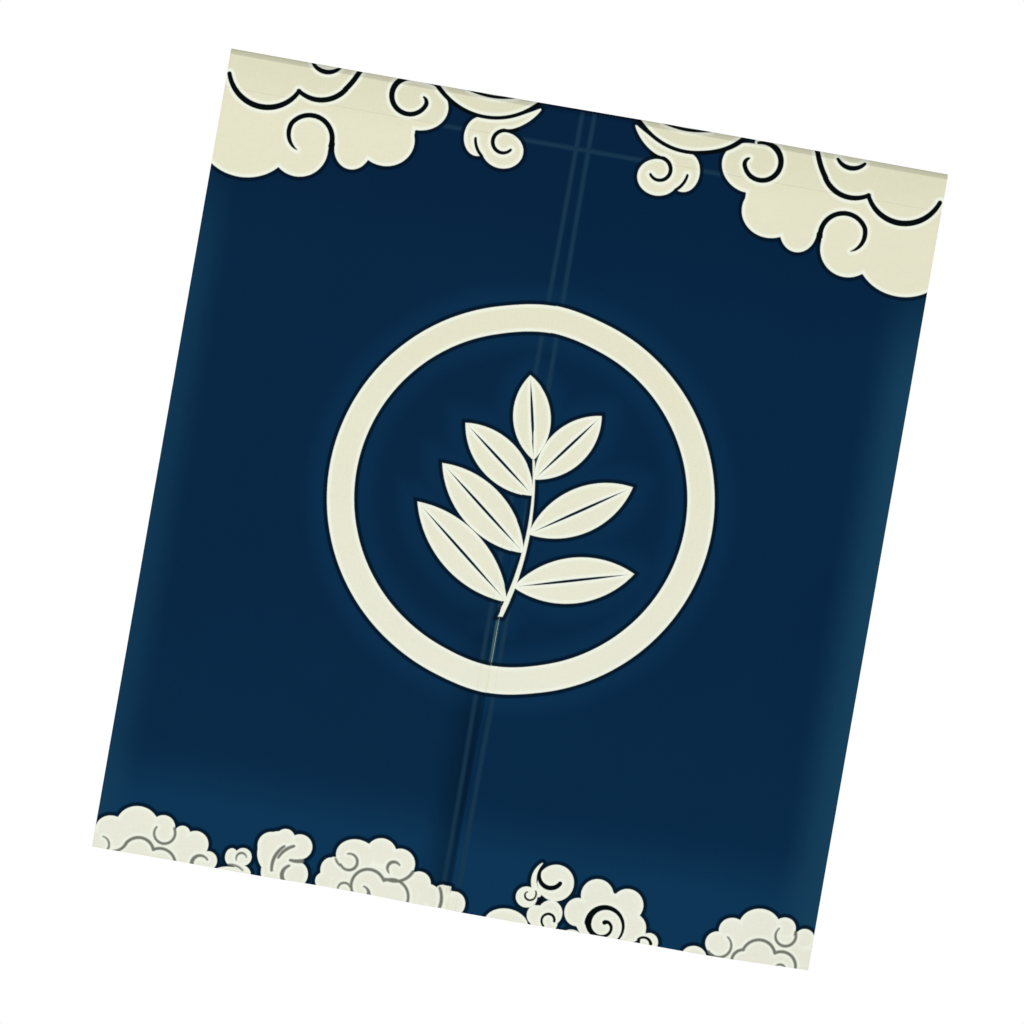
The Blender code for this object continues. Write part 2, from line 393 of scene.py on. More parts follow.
# Cream with painted shade, at the heading
CREAM_HEADING_SHADE = (0.735, 0.728, 0.538, 1.0)
CREAM = (0.79, 0.778, 0.59, 1.0)
CREAM_LOW = (0.836, 0.842, 0.715, 1.0)
CREAM_RIM = (0.9, 0.94, 0.82, 1.0)
LINE_BLACK = (0.0012, 0.0032, 0.0042, 1.0)
LINE_GREY = (0.15, 0.155, 0.128, 1.0)
REVERSE_NAVY = (0.06, 0.115, 0.19, 1.0)
REVERSE_CREAM = (0.7, 0.69, 0.58, 1.0)
THREAD = (0.011, 0.044, 0.086, 1.0)
THREAD_CREAM = (0.75, 0.745, 0.58, 1.0)
GROUNDS = ("Ground", "Low ground", "Edge light ground", "Row highlight ground", "Lit ground")
CREAMS = ("Shaded cream top", "Cream above", "Cream below", "Cream rim")
FACE_COLOURS = {
    "Low ground": NAVY_LOW, "Edge light ground": NAVY_EDGE_LIGHT, "Row highlight ground": NAVY_ROW_HIGHLIGHT, "Lit ground": NAVY_LIT,
    "Shaded cream top": CREAM_HEADING_SHADE, "Cream above": CREAM, "Cream below": CREAM_LOW, "Cream rim": CREAM_RIM,
    "Contour and shade": NAVY_DARK, "Lines": LINE_BLACK, "Grey lines": LINE_GREY,
}
REVERSE_COLOURS = {
    **dict.fromkeys(GROUNDS + ("Contour and shade", "Lines"), REVERSE_NAVY),
    **dict.fromkeys(CREAMS + ("Grey lines",), REVERSE_CREAM),
}
THREAD_COLOURS = {
    **dict.fromkeys(GROUNDS, THREAD), **dict.fromkeys(CREAMS, THREAD_CREAM),
    "Contour and shade": NAVY_DARK, "Lines": LINE_BLACK, "Grey lines": LINE_GREY,
}


def ease(t):
    """Runs smoothly from 0 to 1 as t does."""
    t = np.clip(t, 0.0, 1.0)
    return t * t * (3 - 2 * t)


def bell(t):
    """1 where t is 0, falling smoothly to 0 where t is 1 or -1."""
    return 0.5 * (1 + np.cos(np.pi * np.minimum(np.abs(t), 1.0)))


def wave_at(wave, x):
    return wave.size * np.sin(2 * np.pi * wave.turns * x / WIDTH + wave.phase)


def foot_drop(x):
    """How far below the top fold the curtain ends, at this place along its width."""
    return DROP + sum(wave_at(wave, x) for wave in FOOT_WAVES)


def slit_x(drop):
    """The slit's own line, so far below the top fold."""
    return -SLIT_DRIFT * ease((drop - SLIT_TOP) / DRIFT_REACH)


def slit_edge(drop, sign):
    """Where a panel's slit edge is: sign is -1 for the left panel and 1 for the right one."""
    opening = GAPE * bell((drop - GAPE_MIDDLE) / GAPE_REACH) - SEWN_LAP
    lap = LAP * ease((drop - LAP_START) / LAP_REACH)
    return slit_x(drop) + sign * (opening - lap) / 2


def curl_depth(curl, inwards, drop, soft_edge):
    """How far an edge turns back. A soft edge lies level at its very end, and another one turns on."""
    share = 1 - np.minimum(inwards / curl.reach, 1.0)
    shape = bell(1 - share) if soft_edge else share * share
    return curl.depth * shape * ease((drop - curl.start) / (DROP - curl.start))


def fold_depth(x, drop):
    """How far the cloth stands back from its plane through the soft folds."""
    total = np.zeros_like(x)
    for fold in FOLDS:
        middle = fold.head + (fold.foot - fold.head) * drop / DROP
        growth = ease((drop - HEADING - fold.start) / (DROP - HEADING - fold.start))
        total += fold.depth * bell((x + HALF - middle) / fold.half_width) * growth
    return total


def crinkle(across, down):
    """The small unevenness of hung cloth, a sum of faint waves that run in different directions."""
    rng = np.random.default_rng(CRINKLE_SEED)
    total = np.zeros_like(across)
    for _ in range(CRINKLES):
        length = rng.uniform(*CRINKLE_LENGTHS)
        direction = rng.uniform(*(NEARLY_LEVEL if rng.random() < NEARLY_LEVEL_SHARE else ANY_WAY))
        phase = rng.uniform(0, 2 * math.pi)
        run = across * math.cos(direction) + down * math.sin(direction)
        total += CRINKLE_DEPTH * length * np.sin(2 * math.pi * run / length + phase)
    return total


def seam_inset(seam, down):
    """How far in from the slit a row of stitches runs."""
    return seam.top + (seam.low - seam.top) * ease(down / SEAM_SETTLES)


def spaced(start, end, spacing):
    """Even places from start to end, both kept, no further apart than the spacing."""
    count = math.ceil((end - start) / spacing)
    return [start + (end - start) * i / count for i in range(count + 1)]


def lobe_distance(lobe, across, down):
    """Distance to an oval, which is near enough close to its edge."""
    x = (across - lobe.across) / lobe.wide
    y = (down - lobe.down) / lobe.tall
    reach = np.hypot(x, y)
    slope = np.maximum(np.hypot(x / lobe.wide, y / lobe.tall), TINY)
    return reach * (reach - 1) / slope


def block_distance(block, across, down):
    x = np.maximum(block.left - across, across - block.right)
    y = np.maximum(block.top - down, down - block.bottom)
    outside = np.hypot(np.maximum(x, 0), np.maximum(y, 0))
    return outside + np.minimum(np.maximum(x, y), 0)


def scroll_distance(scroll, across, down):
    """Distance to a stroke, worked out only near it."""
    widest = max(scroll.radius, scroll.end_radius)
    reach = widest + max(scroll.head, scroll.middle, scroll.tail) + SCROLL_MARGIN
    near = (np.abs(across - scroll.across) < reach) & (np.abs(down - scroll.down) < reach)
    x, y = across[near] - scroll.across, down[near] - scroll.down
    steps = math.ceil(math.radians(abs(scroll.turn)) * widest / SCROLL_STEP)
    nearest = np.full(x.shape, FAR)
    for step in range(steps + 1):
        t = step / steps
        angle = math.radians(scroll.start + scroll.turn * t)
        radius = scroll.radius + (scroll.end_radius - scroll.radius) * t
        ends = scroll.head * (1 - t) * (1 - 2 * t) + scroll.tail * t * (2 * t - 1)
        width = ends + 4 * scroll.middle * t * (1 - t)
        there = np.hypot(x - radius * math.cos(angle), y - radius * math.sin(angle)) - width / 2
        nearest = np.minimum(nearest, there)
    distance = np.full(across.shape, FAR)
    distance[near] = nearest
    return distance


def nearest_of(distance_of, shapes, across, down):
    distance = np.full(across.shape, FAR)
    for shape in shapes:
        distance = np.minimum(distance, distance_of(shape, across, down))
    return distance


def cream_distance(lobes, blocks, strokes, place):
    return np.minimum.reduce([
        nearest_of(lobe_distance, lobes, *place),
        nearest_of(block_distance, blocks, *place),
        nearest_of(scroll_distance, strokes, *place),
    ])


def cloud_distances(across, down):
    """Signed distances in metres, below zero inside, to the cream clouds, dark lines and grey lines."""
    across, down = across / MM, down / MM
    cream, dark, grey = (np.full(across.shape, FAR) for _ in range(3))
    top = down < TOP_BAND
    mirrored = MIRROR - np.abs(across[top] - MIRROR)
    lower = np.where(across[top] > MIRROR, RIGHT_LOWER * ease((LEVEL_FROM - mirrored) / LOWERS_OVER), 0)
    place = mirrored, down[top] - lower
    cream[top] = cream_distance(TOP_LOBES, TOP_BLOCKS, TOP_STROKES, place)
    dark[top] = nearest_of(scroll_distance, TOP_LINES, *place)
    foot = down > FOOT_BAND
    place = across[foot], down[foot]
    cream[foot] = cream_distance(FOOT_LOBES, FOOT_BLOCKS, FOOT_STROKES, place)
    dark[foot] = nearest_of(scroll_distance, FOOT_LINES, *place)
    grey[foot] = nearest_of(scroll_distance, FOOT_GREYS, *place)
    return [np.clip(distance, -FAR, FAR) * MM for distance in (cream, dark, grey)]


def flat_grid(columns, rows, to_cloth):
    """A flat mesh with a point where a column meets a row, split finer near the printed edges, and its
    points' places. to_cloth turns those into (across, down) on the cloth."""
    mesh = bmesh.new()
    bmesh.ops.create_grid(mesh, x_segments=len(columns) - 1, y_segments=len(rows) - 1, size=1.0)
    mesh.verts.ensure_lookup_table()
    for index, vert in enumerate(mesh.verts):
        vert.co = columns[index % len(columns)], rows[index // len(columns)], 0
    faces = list(mesh.faces)
    middles = np.array([face.calc_center_median() for face in faces])
    distances = cloud_distances(*to_cloth(middles[:, 0], middles[:, 1]))
    close = np.minimum.reduce([np.abs(distance) for distance in distances]) < SPLIT_REACH
    edges = {edge for face, is_close in zip(faces, close) if is_close for edge in face.edges}
    bmesh.ops.subdivide_edges(
        mesh, edges=sorted(edges, key=lambda edge: edge.index), cuts=SPLITS, use_grid_fill=True
    )
    flat = np.array([vert.co for vert in mesh.verts])
    return mesh, flat[:, 0], flat[:, 1]


def new_object(name, data):
    obj = bpy.data.objects.new(name, data)
    bpy.context.scene.collection.objects.link(obj)
    return obj


def cloth_mesh(name, mesh, places, across, down):
    """Puts a flat mesh in place, and keeps where each point is on the cloth and in the print."""
    for vert, place in zip(mesh.verts, places):
        vert.co = place
    bmesh.ops.recalc_face_normals(mesh, faces=mesh.faces)
    for face in mesh.faces:
        face.smooth = True
    data = bpy.data.meshes.new(name)
    mesh.to_mesh(data)
    mesh.free()
    corners = np.empty(len(data.loops), int)
    data.loops.foreach_get("vertex_index", corners)
    on_cloth = data.uv_layers.new(name="cloth")
    on_cloth.data.foreach_set("uv", np.stack([across, down], 1)[corners].ravel())
    obj = new_object(name, data)
    add_clouds(obj, across, down)
    return obj


def face_away(obj, y):
    """Turns the printed side of a sheet away from an upright plane, which is at this y."""
    if sum(face.normal.y * (face.center.y - y) for face in obj.data.polygons) < 0:
        obj.data.flip_normals()


def add_attribute(obj, label, values):
    obj.data.attributes.new(label, "FLOAT", "POINT").data.foreach_set("value", values)


def add_clouds(obj, across, down):
    """Keeps at each point how far it is from the edges of the printed clouds."""
    for label, distance in zip(("cream", "dark", "grey"), cloud_distances(across, down)):
        add_attribute(obj, label, distance)


def finish_cloth(obj, materials, thickness, weights=None, thinnest=1.0):
    """Adds the reverse of the cloth, in the second material. Its face and cut edges are in the first."""
    for material in materials:
        obj.data.materials.append(material)
    solid = obj.modifiers.new("cloth", "SOLIDIFY")
    solid.thickness = thickness
    solid.offset = -1
    if weights is None:
        solid.use_even_offset = True
    else:
        layers = obj.vertex_groups.new(name="layers")
        for index, weight in enumerate(weights):
            layers.add([index], float(weight), "REPLACE")
        solid.vertex_group = layers.name
        solid.thickness_vertex_group = thinnest
    solid.material_offset = 1
    solid.material_offset_rim = 0
    apply_modifiers(obj)
    obj.data.set_sharp_from_angle(angle=SHARP_ANGLE)


def apply_modifiers(obj):
    """Turns what the modifiers make into the object's own plain mesh."""
    bpy.context.view_layer.update()
    made = obj.evaluated_get(bpy.context.evaluated_depsgraph_get())
    data = bpy.data.meshes.new_from_object(made)
    data.name = obj.name
    obj.modifiers.clear()
    obj.data = data


def at_edge(from_slit, down):
    """1 along a panel's edges at the slit, side and foot, and 0 from where their rounding starts."""
    from_edge = np.minimum.reduce([from_slit, HALF - from_slit, DROP - down])
    return (1 - np.minimum(from_edge / EDGE_ROUND, 1.0)) ** 2


def panel_surface(side, from_slit, down):
    """A panel's front face, on its side of the slit."""
    start = slit_edge(down, side.sign)
    x = start + (side.sign * HALF - start) * from_slit / HALF
    depth = fold_depth(x, down)
    depth += curl_depth(side.slit, np.abs(x - slit_x(down)), down, True)
    depth += curl_depth(side.outer, HALF - np.abs(x), down, False)
    depth += crinkle(x + HALF, down) * ease((down - PANEL_TOP) / CRINKLE_REACH)
    from_stitches = np.minimum(np.abs(from_slit - seam_inset(side.seam, down)), np.abs(down - HEADING))
    depth += GROOVE * bell(from_stitches / GROOVE_REACH)
    depth += EDGE_BACK * at_edge(from_slit, down)
    stretch = (foot_drop(x) - PANEL_TOP) / (DROP - PANEL_TOP)
    return x, SEAM_Y - CLOTH / 2 + depth, -(PANEL_TOP + (down - PANEL_TOP) * stretch)


def hem_share(side, from_slit, down):
    """1 in a panel's hems and 0 in the single cloth."""
    inwards = np.minimum.reduce([from_slit - side.seam.hem, HALF - from_slit - HEM, DROP - down - HEM])
    return 1 - ease(inwards / HEM_FADE + 0.5)


def make_panel(name, side, materials):
    hem_end = side.seam.hem + HEM_FADE
    by_slit = list(EDGE_ROWS) + [side.seam.hem - HEM_FADE, side.seam.hem, hem_end]
    by_side = [HALF - inwards for inwards in HEM_ROWS]
    columns = by_slit + spaced(hem_end, HALF - HEM - HEM_FADE, CELL)[1:-1] + by_side
    by_foot = [DROP - inwards for inwards in HEM_ROWS]
    rows = spaced(PANEL_TOP, DROP - HEM - HEM_FADE, CELL)[:-1] + by_foot

    def to_cloth(from_slit, down):
        return HALF + side.sign * from_slit, down

    mesh, from_slit, down = flat_grid(columns, rows, to_cloth)
    x, y, z = panel_surface(side, from_slit, down)
    panel = cloth_mesh(name, mesh, np.stack([x, y, z], 1), x + HALF, down)
    face_away(panel, BEHIND_Y)
    hems = hem_share(side, from_slit, down)
    add_attribute(panel, "hem", hems)
    add_attribute(panel, "seam", from_slit - seam_inset(side.seam, down))
    rounded = 1 - EDGE_THINNED * at_edge(from_slit, down)
    finish_cloth(panel, materials, THIN_HEM, hems * rounded, THIN_CLOTH / THIN_HEM)
    return panel


def fold_turn(along):
    """How far the sleeve has turned over, in radians: 0 up its front and pi down its back."""
    return np.pi * np.clip((along - FRONT_ENDS) / (BACK_STARTS - FRONT_ENDS), 0, 1)


def heading_section(along):
    """The sleeve's outer outline as (y, z), for shares along it: up the front, over and down the back."""
    cap = POCKET_DEPTH / 2
    wall = HEADING - cap
    front, back = along < FRONT_ENDS, along > BACK_STARTS
    height = np.minimum(np.minimum(along, 1 - along) / FRONT_ENDS, 1.0)
    angle = fold_turn(along)
    swell = np.sin(height * np.pi / 2)
    settle = ease(height * wall / FOOT_RISE)
    near = FOOT_FRONT + (POCKET_FOOT / 2 - FOOT_FRONT) * settle + POCKET_FRONT * swell
    far = FOOT_BACK + (POCKET_FOOT / 2 - FOOT_BACK) * settle + POCKET_BACK * swell
    y = np.where(front, SEAM_Y - near, np.where(back, SEAM_Y + far, -cap * np.cos(angle)))
    z = np.where(front | back, -HEADING + wall * height, -cap + cap * np.sin(angle))
    return y, z


def heading_surface(x, along):
    """The sleeve's outer face at this share along its section, and how far down the cloth that is."""
    y, z = heading_section(along)
    height = (z + HEADING) / HEADING
    lift = (wave_at(FOLD_LINE_WAVE, x) - wave_at(FOLD_LINE_WAVE, 0)) * height
    fullness = 1 + wave_at(FULLNESS_WAVE, x) * height
    y = SEAM_Y + (y - SEAM_Y) * fullness
    on_front = along < 0.5
    down = np.where(on_front, -z, z)
    outwards = np.where(on_front, -1.0, 1.0) * np.cos(fold_turn(along)) ** 2
    y += outwards * crinkle(x + HALF, down) * ease(height * CRINKLE_GROWTH)
    grooves = np.abs(x)
    for side in (LEFT, RIGHT):
        grooves = np.minimum(grooves, np.abs(x - side.sign * seam_inset(side.seam, np.abs(down))))
    y -= outwards * GROOVE * bell(grooves / GROOVE_REACH) * ease(height * GROOVE_GROWTH)
    return x, y, z + lift, down


def make_heading(materials):
    columns = spaced(-HALF, HALF, CELL)
    rows = spaced(0, FRONT_ENDS, WALL_STEP) + spaced(FRONT_ENDS, BACK_STARTS, FOLD_STEP)[1:]
    rows += spaced(BACK_STARTS, 1.0, WALL_STEP)[1:]

    def to_cloth(x, along):
        return x + HALF, heading_surface(x, along)[3]

    mesh, x, along = flat_grid(columns, rows, to_cloth)
    x, y, z, down = heading_surface(x, along)
    heading = cloth_mesh("heading_sleeve", mesh, np.stack([x, y, z], 1), x + HALF, down)
    face_away(heading, SEAM_Y)
    add_attribute(heading, "hem", np.zeros(len(x)))
    left_row, right_row = (seam_inset(side.seam, np.abs(down)) for side in (LEFT, RIGHT))
    add_attribute(heading, "seam", np.where(x < 0, -x - left_row, x - right_row))
    finish_cloth(heading, materials, THIN_CLOTH)
    return heading


def add_node(tree, kind, inputs=(), **settings):
    """A node with its settings made, and each input joined to a socket or given a value."""
    node = tree.nodes.new(kind)
    for name, value in settings.items():
        setattr(node, name, value)
    for key, value in dict(inputs).items():
        if isinstance(value, bpy.types.NodeSocket):
            tree.links.new(value, node.inputs[key])
        else:
            node.inputs[key].default_value = value
    return node


def calc(tree, operation, *values):
    """One sum on numbers or sockets."""
    return add_node(tree, "ShaderNodeMath", dict(enumerate(values)), operation=operation).outputs[0]


def apart(tree, first, second):
    return calc(tree, "ABSOLUTE", calc(tree, "SUBTRACT", first, second))


def parts_of(tree, vector):
    return add_node(tree, "ShaderNodeSeparateXYZ", {0: vector}).outputs


def vector_of(tree, *parts):
    return add_node(tree, "ShaderNodeCombineXYZ", dict(enumerate(parts))).outputs[0]


def calc_vector(tree, operation, output, *values):
    node = add_node(tree, "ShaderNodeVectorMath", dict(enumerate(values)), operation=operation)
    return node.outputs[output]


def fade(tree, value, start, end, low=0.0, high=1.0):
    """Goes smoothly from low, where the value is at start, to high, where it is at end."""
    span = {"Value": value, "From Min": start, "From Max": end, "To Min": low, "To Max": high}
    return add_node(tree, "ShaderNodeMapRange", span, interpolation_type="SMOOTHSTEP").outputs[0]


def mix_colours(tree, share, first, second, blend="MIX"):
    colours = {0: share, 6: first, 7: second}
    return add_node(tree, "ShaderNodeMix", colours, data_type="RGBA", blend_type=blend).outputs[2]


def calc_all(tree, operation, values):
    """Takes all the values into one by the same sum."""
    total = values[0]
    for value in values[1:]:
        total = calc(tree, operation, total, value)
    return total


def noise_at(tree, place, scale, detail):
    return add_node(tree, "ShaderNodeTexNoise", {"Vector": place, "Scale": scale, "Detail": detail}).outputs


def attribute(tree, label):
    return add_node(tree, "ShaderNodeAttribute", attribute_name=label).outputs["Fac"]


def make_group(name, inputs, outputs, kind="ShaderNodeTree"):
    """An empty group of nodes, and the sockets inside it for its inputs and outputs."""
    tree = bpy.data.node_groups.new(name, kind)
    for in_out, sockets in (("INPUT", inputs), ("OUTPUT", outputs)):
        for label, value in sockets.items():
            tree.interface.new_socket(name=label, in_out=in_out, socket_type="NodeSocket" + value)
    return tree, tree.nodes.new("NodeGroupInput").outputs, tree.nodes.new("NodeGroupOutput").inputs


def use_group(tree, group, inputs):
    return add_node(tree, "ShaderNodeGroup", inputs, node_tree=group).outputs


def make_leaf_group():
    """The distance to a pointed leaf whose two sides are arcs, less the bare line along its rib."""
    inputs = dict.fromkeys(("Place", "Middle", "Along", "Across"), "Vector")
    inputs.update({"Half length": "Float", "Half width": "Float"})
    tree, given, result = make_group("leaf", inputs, {"Distance": "Float"})
    offset = calc_vector(tree, "SUBTRACT", 0, given["Place"], given["Middle"])
    along = calc_vector(tree, "DOT_PRODUCT", 1, offset, given["Along"])
    across = calc(tree, "ABSOLUTE", calc_vector(tree, "DOT_PRODUCT", 1, offset, given["Across"]))
    length, width = given["Half length"], given["Half width"]
    square = calc(tree, "MULTIPLY_ADD", length, length, calc(tree, "MULTIPLY", width, width))
    radius = calc(tree, "DIVIDE", square, calc(tree, "MULTIPLY", width, 2.0))
    to_centre = calc(tree, "ADD", across, calc(tree, "SUBTRACT", radius, width))
    squares = calc(tree, "MULTIPLY_ADD", to_centre, to_centre, calc(tree, "MULTIPLY", along, along))
    blade = calc(tree, "SUBTRACT", calc(tree, "SQRT", squares), radius)
    share = calc(tree, "DIVIDE", along, calc(tree, "MULTIPLY", length, RIB_REACH))
    taper = calc(tree, "SUBTRACT", 1.0, calc(tree, "MULTIPLY", share, share))
    rib = calc(tree, "MULTIPLY_ADD", taper, RIB * MM, calc(tree, "MULTIPLY", across, -1.0))
    tree.links.new(calc(tree, "MAXIMUM", blade, rib), result["Distance"])
    return tree


def stem_place(share):
    """A place on the sprig's stem, and the way it grows there, as angles and millimetres."""
    angle = math.radians(STEM_START + (STEM_END - STEM_START) * share)
    across = STEM_MIDDLE[0] + STEM_RADIUS * math.cos(angle)
    down = STEM_MIDDLE[1] + STEM_RADIUS * math.sin(angle)
    return across, down, math.degrees(angle) - 90


def make_ring_group(leaf_group):
    """The distance to the printed ring and to the sprig in it."""
    tree, given, result = make_group(
        "ring_and_sprig", {"Place": "Vector", "Ring middle": "Vector"}, {"Distance": "Float"}
    )
    place = calc_vector(tree, "SUBTRACT", 0, given["Place"], given["Ring middle"])
    spot = parts_of(tree, place)
    sideways = calc(tree, "ABSOLUTE", spot[0])
    peak = fade(tree, sideways, PEAK_REACH, 0.0, 0.0, RING_PEAK)
    upright = calc(tree, "SUBTRACT", calc(tree, "ABSOLUTE", spot[1]), peak)
    away = calc_vector(tree, "LENGTH", 1, vector_of(tree, sideways, upright))
    from_band = apart(tree, away, RING_RADIUS)
    shapes = [calc(tree, "SUBTRACT", from_band, RING_BAND / 2)]
    foot_down, tip_down = stem_place(0)[1] * MM, stem_place(1)[1] * MM
    centre = [STEM_MIDDLE[0] * MM, STEM_MIDDLE[1] * MM, 0]
    from_centre = calc_vector(tree, "DISTANCE", 1, place, centre)
    from_line = apart(tree, from_centre, STEM_RADIUS * MM)
    width = fade(tree, spot[1], tip_down, foot_down, STEM_TIP * MM, STEM_FOOT * MM)
    stem = calc(tree, "MULTIPLY_ADD", width, -0.5, from_line)
    stem = calc(tree, "MAXIMUM", stem, calc(tree, "SUBTRACT", spot[1], foot_down))
    shapes.append(calc(tree, "MAXIMUM", stem, calc(tree, "SUBTRACT", tip_down, spot[1])))
    for leaf in LEAVES:
        across, below, heading = stem_place(leaf.along)
        turn = math.radians(heading + leaf.turned)
        along = Vector((math.cos(turn), math.sin(turn), 0))
        leaf_middle = Vector((across, below, 0)) + along * leaf.length / 2
        shape = {
            "Place": place, "Middle": leaf_middle * MM, "Along": along, "Across": (-along.y, along.x, 0),
            "Half length": leaf.length / 2 * MM, "Half width": leaf.width / 2 * MM,
        }
        shapes.append(use_group(tree, leaf_group, shape)["Distance"])
    tree.links.new(calc_all(tree, "MINIMUM", shapes), result["Distance"])
    return tree


def make_weave_group():
    """Plain weave with slubs: a height for the bump, and a tone that is about 1 or a little less."""
    tree, given, result = make_group(
        "weave", {"Place": "Vector", "Thread": "Float"}, {"Height": "Float", "Tone": "Float"}
    )
    stray = {0: noise_at(tree, given["Place"], STRAY_SCALE, 1.0)["Color"], "Scale": STRAY}
    shift = add_node(tree, "ShaderNodeVectorMath", stray, operation="SCALE").outputs[0]
    place = calc_vector(tree, "ADD", 0, given["Place"], shift)
    parts = parts_of(tree, place)
    turns = calc(tree, "DIVIDE", math.pi, given["Thread"])
    ridges = [calc(tree, "SINE", calc(tree, "MULTIPLY", parts[axis], turns)) for axis in (0, 1)]
    crossings = calc(tree, "MULTIPLY", *ridges)
    stretched = [calc_vector(tree, "MULTIPLY", 0, given["Place"], stretch) for stretch in SLUBS]
    uneven = calc(tree, "ADD", *[noise_at(tree, there, 1.0, 2.0)[0] for there in stretched])
    tree.links.new(calc(tree, "MULTIPLY_ADD", crossings, CROSSINGS, uneven), result["Height"])
    tree.links.new(calc(tree, "MULTIPLY_ADD", uneven, TONE_SIZE, 1.0 - TONE_SIZE), result["Tone"])
    return tree


def make_print_group(ring_group):
    """The printed cloth's colour: navy ground, cream shapes, dark and grey lines, with painted light and
    shade laid over them.
    """
    inputs = {"Place": "Vector", "Ring middle": "Vector", "Tone": "Float"}
    inputs.update(dict.fromkeys(REVERSE_COLOURS, "Color"))
    tree, given, result = make_group("print", inputs, {"Colour": "Color"})
    place = given["Place"]
    across, down = parts_of(tree, place)[:2]
    from_fold = calc(tree, "ABSOLUTE", down)
    wobble = calc(tree, "MULTIPLY_ADD", noise_at(tree, place, GRAIN_SCALE, 1.0)[0], WOBBLE, -WOBBLE / 2)
    ring = use_group(tree, ring_group, {"Place": place, "Ring middle": given["Ring middle"]})["Distance"]
    shape = calc(tree, "ADD", calc(tree, "MINIMUM", attribute(tree, "cream"), ring), wobble)
    lines = calc(tree, "ADD", attribute(tree, "dark"), wobble)
    greys = calc(tree, "ADD", attribute(tree, "grey"), wobble)

    patches = calc(tree, "MULTIPLY_ADD", noise_at(tree, place, PATCH_SCALE, 2.0)[0], PATCHES, -PATCHES / 2)
    lower = [patches] + [fade(tree, down, *span) for span in FADING] + [fade(tree, ring, *HALO)]
    # Painted light towards the outer edges, growing in further down
    sides = calc(tree, "MAXIMUM", fade(tree, across, *EDGE_LEFT), fade(tree, across, *EDGE_RIGHT))
    sides = calc(tree, "MULTIPLY", sides, fade(tree, down, *EDGES_DOWN))
    # Painted shade where the left slit edge turns back, low down
    curl = [fade(tree, across, *CURL_LEFT), fade(tree, across, *CURL_RIGHT), fade(tree, down, *CURL_DOWN)]
    # Painted highlight along the stitched rows and the heading's row
    from_seam = calc(tree, "ABSOLUTE", attribute(tree, "seam"))
    row = calc(tree, "MINIMUM", apart(tree, from_fold, HEADING_ROW), from_seam)
    lit = [fade(tree, down, *LIT_BELOW), fade(tree, down, *LIT_ABOVE)]
    lit.append(fade(tree, apart(tree, across, LIT_EDGE), *LIT_BAND))
    dark = calc(tree, "MAXIMUM", fade(tree, shape, *CONTOUR), fade(tree, from_fold, *FOLD_LINE))
    ground = given["Ground"]
    for share, label in (
        (calc_all(tree, "ADD", lower), "Low ground"), (sides, "Edge light ground"),
        (calc_all(tree, "MULTIPLY", curl), "Contour and shade"), (fade(tree, row, *ROW), "Row highlight ground"),
        (calc_all(tree, "MULTIPLY", lit), "Lit ground"), (dark, "Contour and shade"),
    ):
        ground = mix_colours(tree, share, ground, given[label])

    # Painted shade darkens the cream at the heading
    cream = mix_colours(tree, fade(tree, down, *CREAM_HIGH), given["Shaded cream top"], given["Cream above"])
    cream = mix_colours(tree, fade(tree, down, *CREAM_DOWN), cream, given["Cream below"])
    inside = calc_all(tree, "MINIMUM", [lines, greys, calc(tree, "MULTIPLY", shape, -1.0)])
    cream = mix_colours(tree, fade(tree, inside, *RIM), cream, given["Cream rim"])
    colour = mix_colours(tree, fade(tree, shape, *PRINT_EDGE), ground, cream)
    colour = mix_colours(tree, fade(tree, greys, *GREY_EDGE), colour, given["Grey lines"])
    colour = mix_colours(tree, fade(tree, lines, *PRINT_EDGE), colour, given["Lines"])
    # Painted shade on the top fold darkens every colour there
    shade = calc(tree, "MULTIPLY", given["Tone"], fade(tree, from_fold, *FOLD_SHADE))
    tone = vector_of(tree, shade, shade, shade)
    tree.links.new(mix_colours(tree, 1.0, colour, tone, "MULTIPLY"), result["Colour"])
    return tree


def new_material(name, finish):
    material = bpy.data.materials.new(name)
    material.use_nodes = True
    shader = material.node_tree.nodes["Principled BSDF"]
    shader.inputs["Roughness"].default_value = finish.roughness
    shader.inputs["Specular IOR Level"].default_value = finish.specular
    return material, material.node_tree, shader


def colour_and_bump(tree, shader, colour, height, finish):
    bump = {"Height": height, "Strength": finish.strength, "Distance": finish.depth}
    tree.links.new(colour, shader.inputs["Base Color"])
    tree.links.new(add_node(tree, "ShaderNodeBump", bump).outputs[0], shader.inputs["Normal"])


def cloth_material(name, groups, ground, ring_middle, reverse=False):
    """Printed cloth. The reverse shows the print through the cloth, and its face again in the hems."""
    material, tree, shader = new_material(name, CLOTH_FINISH)
    place = add_node(tree, "ShaderNodeUVMap", uv_map="cloth").outputs[0]
    weave = use_group(tree, groups["weave"], {"Place": place, "Thread": THREAD_PITCH})
    face = {"Place": place, "Ring middle": ring_middle, "Tone": weave["Tone"], "Ground": ground}
    face.update(FACE_COLOURS)
    colour = use_group(tree, groups["print"], face)["Colour"]
    if reverse:
        behind = use_group(tree, groups["print"], {**face, **REVERSE_COLOURS})["Colour"]
        colour = mix_colours(tree, fade(tree, attribute(tree, "hem"), *HEM_SHOWS), behind, colour)
    colour_and_bump(tree, shader, colour, weave["Height"], CLOTH_FINISH)
    return material


def cloth_materials(panel, groups, ground, ring_middle):
    """The face and the reverse of one panel's cloth."""
    return (
        cloth_material(panel + "_printed_cloth", groups, ground, ring_middle),
        cloth_material(panel + "_reverse", groups, ground, ring_middle, reverse=True),
    )


